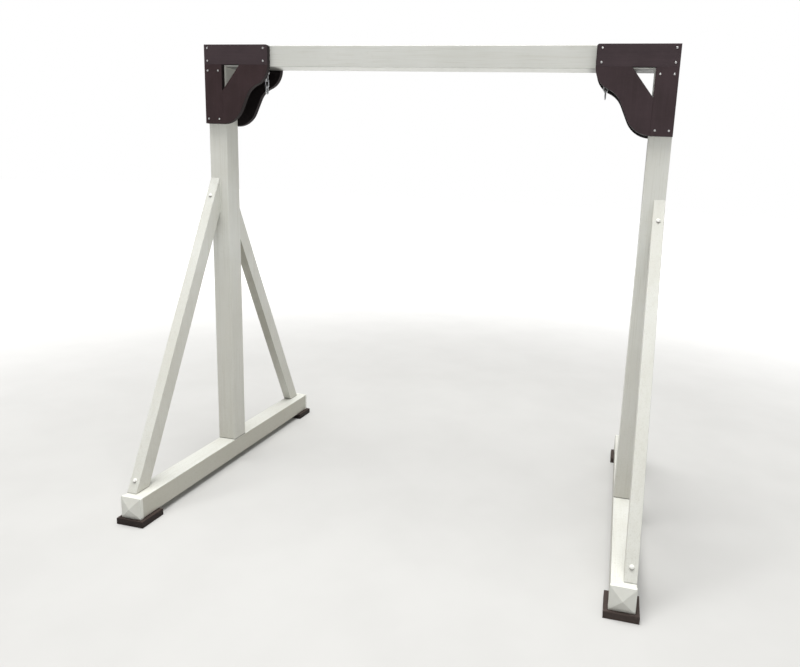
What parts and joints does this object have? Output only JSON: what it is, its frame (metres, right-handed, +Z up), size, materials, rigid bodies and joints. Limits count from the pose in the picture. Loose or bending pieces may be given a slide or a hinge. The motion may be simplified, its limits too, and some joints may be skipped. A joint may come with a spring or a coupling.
{
  "type": "porch swing stand",
  "caption": "Free-standing frame with a beam on two braced side frames, gusset plates at the corners and short chains for hanging a swing.",
  "frame": {"origin": "on the floor, under the middle of the stand", "axes": "+X along the beam towards the right side frame, +Y towards the back, +Z up"},
  "size_m": [2.362, 1.596, 2.2589],
  "materials": {
    "sleeve_almond": "satin almond vinyl",
    "cap_almond": "satin almond vinyl, moulded",
    "plug_almond": "matt almond plastic",
    "timber_core": "rough dressed softwood",
    "poly_brown": "dark brown poly board, fine brushed grain",
    "screw_steel": "stainless",
    "lag_steel": "zinc plated",
    "cover_plastic": "glossy moulded",
    "chain_steel": "galvanised"
  },
  "bodies": {
    "stand": {"beam_sleeve": "sleeve_almond", "beam_core": "timber_core", "left_beam_end_plug": "plug_almond", "right_beam_end_plug": "plug_almond", "left_post_sleeve": "sleeve_almond", "left_post_core": "timber_core", "left_base_sleeve": "sleeve_almond", "left_base_core": "timber_core", "right_post_sleeve": "sleeve_almond", "right_post_core": "timber_core", "right_base_sleeve": "sleeve_almond", "right_base_core": "timber_core", "left_front_gusset_top_board": "poly_brown", "left_front_gusset_post_board": "poly_brown", "left_front_gusset_bracket": "poly_brown", "left_back_gusset_top_board": "poly_brown", "left_back_gusset_post_board": "poly_brown", "left_back_gusset_bracket": "poly_brown", "right_front_gusset_top_board": "poly_brown", "right_front_gusset_post_board": "poly_brown", "right_front_gusset_bracket": "poly_brown", "right_back_gusset_top_board": "poly_brown", "right_back_gusset_post_board": "poly_brown", "right_back_gusset_bracket": "poly_brown", "left_front_foot": "poly_brown", "left_back_foot": "poly_brown", "right_front_foot": "poly_brown", "right_back_foot": "poly_brown", "left_front_end_cap": "cap_almond", "left_back_end_cap": "cap_almond", "right_front_end_cap": "cap_almond", "right_back_end_cap": "cap_almond", "left_front_brace_sleeve": "sleeve_almond", "left_front_brace_core": "timber_core", "left_back_brace_sleeve": "sleeve_almond", "left_back_brace_core": "timber_core", "right_front_brace_sleeve": "sleeve_almond", "right_front_brace_core": "timber_core", "right_back_brace_sleeve": "sleeve_almond", "right_back_brace_core": "timber_core", "left_gusset_screws": "screw_steel", "left_gusset_pins": "lag_steel", "left_foot_screws": "screw_steel", "left_brace_screws": "screw_steel", "left_brace_covers": "cover_plastic", "right_gusset_screws": "screw_steel", "right_gusset_pins": "lag_steel", "right_foot_screws": "screw_steel", "right_brace_screws": "screw_steel", "right_brace_covers": "cover_plastic", "left_base_lag_screws": "lag_steel", "right_base_lag_screws": "lag_steel", "left_hanger_eye": "chain_steel", "right_hanger_eye": "chain_steel"},
    "left_chain_link_upper": {"left_chain_link_upper": "chain_steel"},
    "left_chain_link_middle": {"left_chain_link_middle": "chain_steel"},
    "left_chain_link_lower": {"left_chain_link_lower": "chain_steel"},
    "right_chain_link_upper": {"right_chain_link_upper": "chain_steel"},
    "right_chain_link_middle": {"right_chain_link_middle": "chain_steel"},
    "right_chain_link_lower": {"right_chain_link_lower": "chain_steel"}
  },
  "joints": [
    {"name": "left_link_upper_swing", "type": "hinge", "parent": "stand", "child": "left_chain_link_upper", "pos_m": [-0.854, 0, 2.12935], "axis": [1, 0, 0], "range_deg": [-20, 20]},
    {"name": "left_link_middle_swing", "type": "hinge", "parent": "left_chain_link_upper", "child": "left_chain_link_middle", "pos_m": [-0.854, 0, 2.09815], "axis": [0, 1, 0], "range_deg": [-45, 45]},
    {"name": "left_link_lower_swing", "type": "hinge", "parent": "left_chain_link_middle", "child": "left_chain_link_lower", "pos_m": [-0.854, 0, 2.06645], "axis": [1, 0, 0], "range_deg": [-20, 20]},
    {"name": "right_link_upper_swing", "type": "hinge", "parent": "stand", "child": "right_chain_link_upper", "pos_m": [0.854, 0, 2.12935], "axis": [1, 0, 0], "range_deg": [-20, 20]},
    {"name": "right_link_middle_swing", "type": "hinge", "parent": "right_chain_link_upper", "child": "right_chain_link_middle", "pos_m": [0.854, 0, 2.09815], "axis": [0, 1, 0], "range_deg": [-45, 45]},
    {"name": "right_link_lower_swing", "type": "hinge", "parent": "right_chain_link_middle", "child": "right_chain_link_lower", "pos_m": [0.854, 0, 2.06645], "axis": [1, 0, 0], "range_deg": [-20, 20]}
  ]
}
